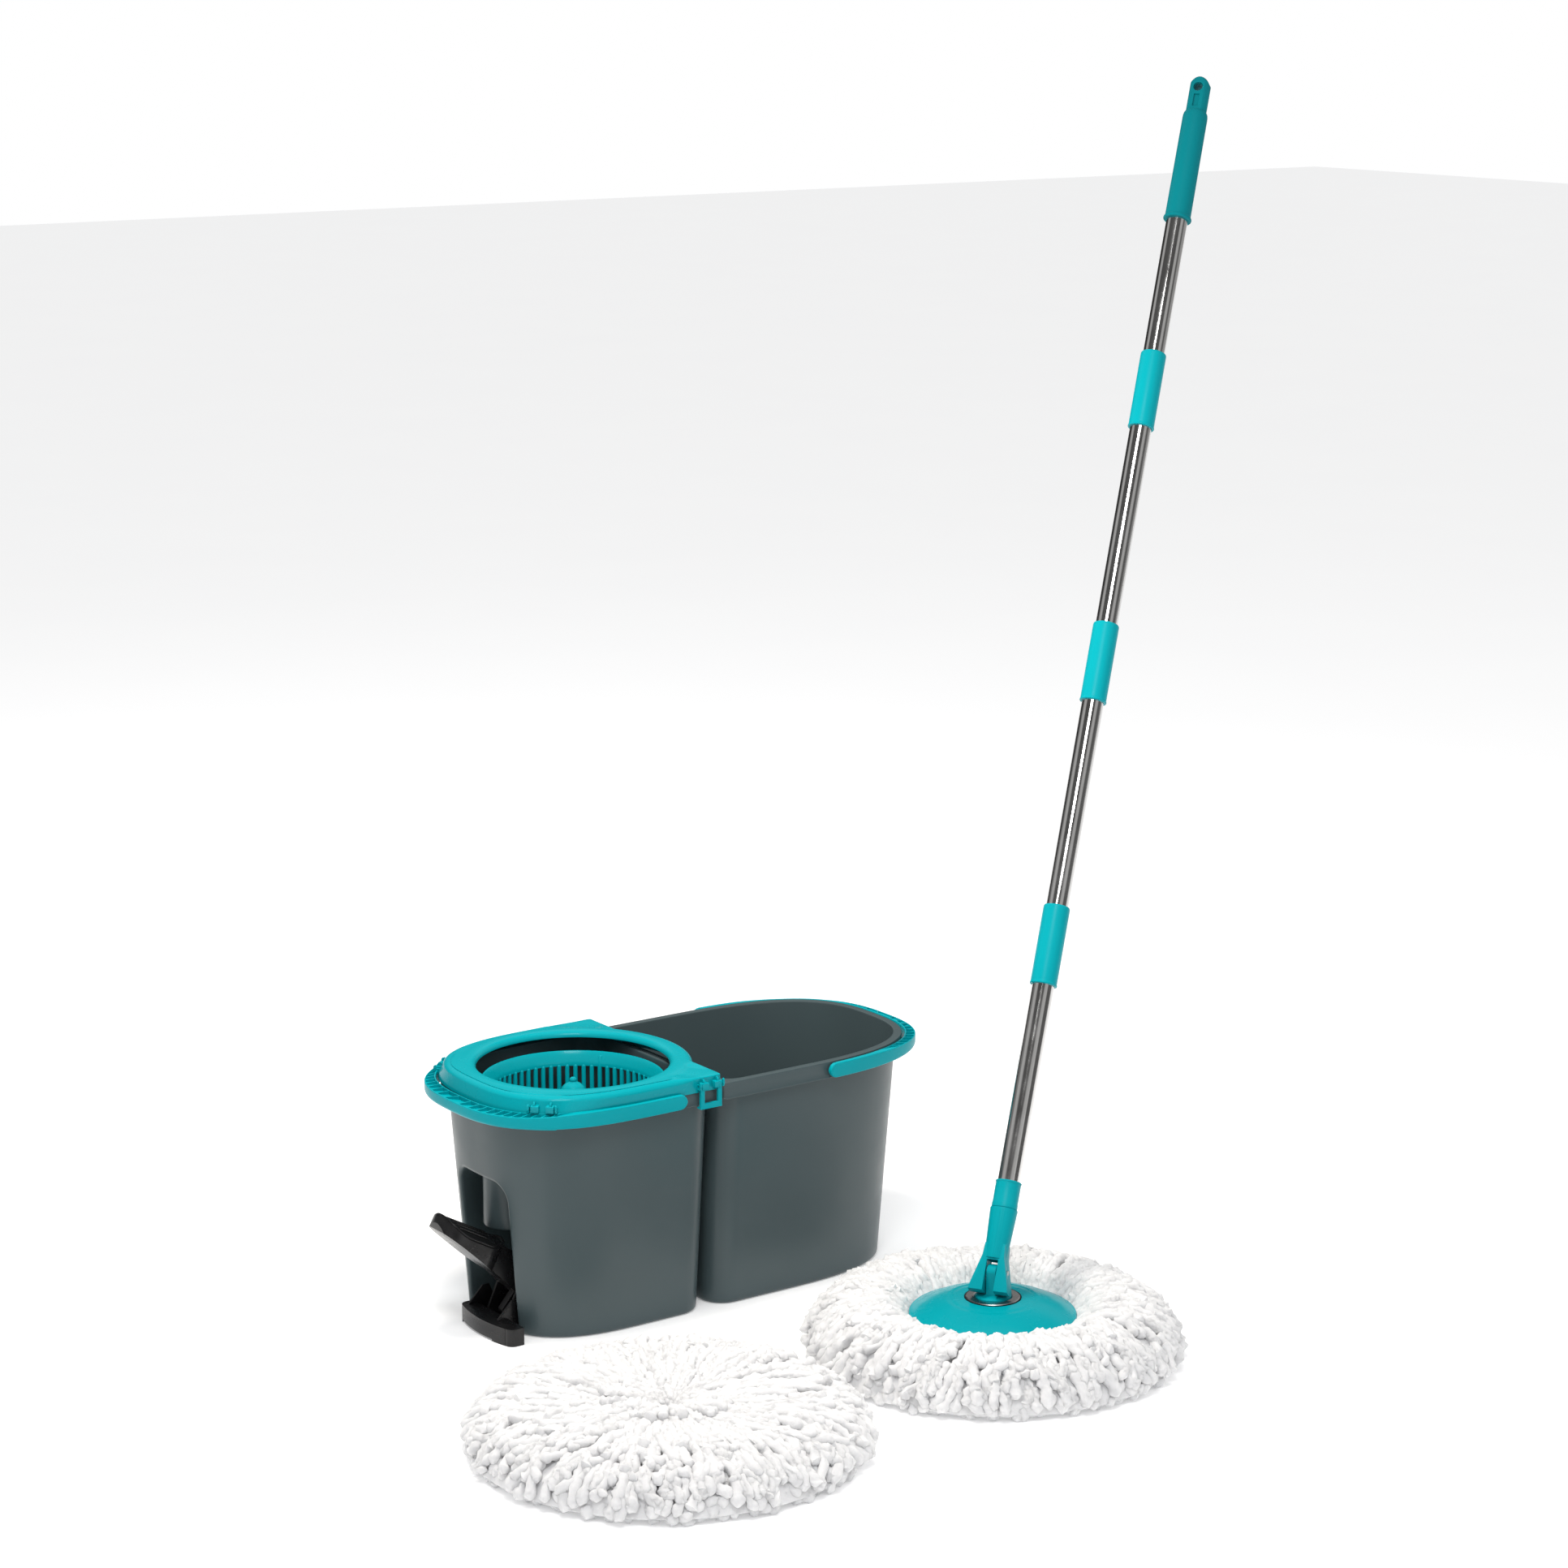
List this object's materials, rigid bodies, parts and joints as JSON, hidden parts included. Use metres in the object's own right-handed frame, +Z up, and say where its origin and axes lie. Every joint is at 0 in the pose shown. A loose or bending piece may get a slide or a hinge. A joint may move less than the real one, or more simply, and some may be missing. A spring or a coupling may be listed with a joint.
{
  "type": "spin mop",
  "caption": "Spin mop set: a two-part bucket with carrying bails, a pedal-driven wringer basket under a ring cover, a jointed tubular mop on a round fringe head, and a spare refill.",
  "frame": {"origin": "on the floor at the middle of the joined buckets' length and width, on the rinse half's flat base", "axes": "+Z up, +X along the bucket towards the rinse half's round end, -Y towards the side where the mop and the spare refill stand"},
  "size_m": [1.099, 0.6685, 1.1802],
  "materials": {
    "teal_plastic": "moulded teal plastic, satin gloss",
    "grey_plastic": "moulded dark grey plastic, low sheen",
    "black_plastic": "moulded black plastic, low sheen",
    "gear_plastic": "natural acetal",
    "white_plastic": "moulded white plastic",
    "steel_tube": "polished stainless tube",
    "steel": "satin steel",
    "rubber": "soft black rubber",
    "microfibre": "white microfibre chenille"
  },
  "bodies": {
    "rinse_half": {"rinse_bucket": "grey_plastic"},
    "rinse_handle": {"rinse_bail": "teal_plastic"},
    "wringer_half": {"wringer_bucket": "grey_plastic", "wringer_cover": "teal_plastic", "end_latches": "teal_plastic", "drive_base": "black_plastic", "base_screws": "steel", "pedal_axle": "steel", "pedal_spring": "steel", "idler_axle": "steel", "idler_clip": "steel", "base_bush": "gear_plastic", "floor_bush": "gear_plastic", "top_bush": "gear_plastic", "shaft_seal": "rubber"},
    "wringer_handle": {"wringer_bail": "teal_plastic"},
    "front_clip": {"front_latch": "teal_plastic"},
    "back_clip": {"back_latch": "teal_plastic"},
    "basket": {"spin_basket": "teal_plastic", "basket_cap": "teal_plastic", "spindle": "steel", "ratchet_hub": "gear_plastic", "ratchet_pawls": "steel"},
    "foot_pedal": {"pedal": "black_plastic"},
    "rack": {"drive_rack": "gear_plastic"},
    "idler": {"idler_gear": "gear_plastic"},
    "clutch": {"clutch_gear": "gear_plastic"},
    "refill": {"mop_fibre": "microfibre", "mop_ring": "white_plastic"},
    "mop_head": {"mop_plate": "teal_plastic", "plate_underside": "white_plastic", "plate_screws": "steel", "bearing_seal": "rubber", "bearing_ring": "steel"},
    "swivel": {"swivel_base": "teal_plastic", "swivel_washer": "steel", "swivel_screw": "steel"},
    "handle": {"fork_socket": "teal_plastic", "fork_pin": "steel", "socket_collar": "teal_plastic", "tube_1": "steel_tube", "tube_2": "steel_tube", "tube_3": "steel_tube", "tube_4": "steel_tube", "connector_1": "teal_plastic", "connector_2": "teal_plastic", "connector_3": "teal_plastic", "thread_plugs": "gear_plastic", "grip": "teal_plastic", "hang_end": "teal_plastic"},
    "spare": {"spare_fibre": "microfibre", "spare_ring": "white_plastic"}
  },
  "joints": [
    {"name": "rinse_bail_hinge", "type": "hinge", "parent": "rinse_half", "child": "rinse_handle", "pos_m": [0.108, 0, 0.229], "axis": [0, -1, 0], "range_deg": [0, 105]},
    {"name": "wringer_lift_off", "type": "slide", "parent": "rinse_half", "child": "wringer_half", "axis": [0, 0, 1], "range_m": [0, 0.26]},
    {"name": "wringer_bail_hinge", "type": "hinge", "parent": "wringer_half", "child": "wringer_handle", "pos_m": [-0.0775, 0, 0.229], "axis": [0, 1, 0], "range_deg": [0, 105]},
    {"name": "front_latch_hinge", "type": "hinge", "parent": "wringer_half", "child": "front_clip", "pos_m": [-0.042, -0.121, 0.241], "axis": [-1, 0, 0], "range_deg": [0, 110]},
    {"name": "back_latch_hinge", "type": "hinge", "parent": "wringer_half", "child": "back_clip", "pos_m": [-0.042, 0.121, 0.241], "axis": [1, 0, 0], "range_deg": [0, 110]},
    {"name": "basket_spin", "type": "hinge", "parent": "wringer_half", "child": "basket", "pos_m": [-0.1225, 0, 0.1], "axis": [0, 0, 1], "continuous": true},
    {"name": "pedal_press", "type": "hinge", "parent": "wringer_half", "child": "foot_pedal", "pos_m": [-0.2, -0.0155, 0.04], "axis": [0, -1, 0], "range_deg": [0, 28], "stiffness_Nm_per_rad": 1.5, "springref_deg": -20.05, "deforming": ["pedal_spring"]},
    {"name": "rack_travel", "type": "slide", "parent": "wringer_half", "child": "rack", "axis": [1, 0, 0], "range_m": [0, 0.01471]},
    {"name": "idler_spin", "type": "hinge", "parent": "wringer_half", "child": "idler", "pos_m": [-0.15625, 0, 0.014], "axis": [0, 0, 1], "range_deg": [0, 112.5]},
    {"name": "clutch_spin", "type": "hinge", "parent": "wringer_half", "child": "clutch", "pos_m": [-0.1225, 0, 0.014], "axis": [0, 0, 1], "range_deg": [-225, 0]},
    {"name": "mop_pick_up", "type": "slide", "parent": "rinse_half", "child": "refill", "axis": [0, 0, 1], "range_m": [0, 0.4]},
    {"name": "refill_unclip", "type": "slide", "parent": "refill", "child": "mop_head", "axis": [0, 0, 1], "range_m": [0, 0.15]},
    {"name": "head_swivel", "type": "hinge", "parent": "mop_head", "child": "swivel", "pos_m": [0.1272, -0.3483, 0.058], "axis": [0, 0, 1], "continuous": true},
    {"name": "handle_tilt", "type": "hinge", "parent": "swivel", "child": "handle", "pos_m": [0.1272, -0.3483, 0.082], "axis": [-0.5397, 0.8419, 0], "range_deg": [-104.8, 45.2]},
    {"name": "spare_pick_up", "type": "slide", "parent": "rinse_half", "child": "spare", "axis": [0, 0, 1], "range_m": [0, 0.3]}
  ],
  "couplings": [
    {"joint": "rack_travel", "follows": "pedal_press", "m_per_rad": 0.03},
    {"joint": "idler_spin", "follows": "pedal_press", "ratio": 4},
    {"joint": "clutch_spin", "follows": "pedal_press", "ratio": -8}
  ]
}
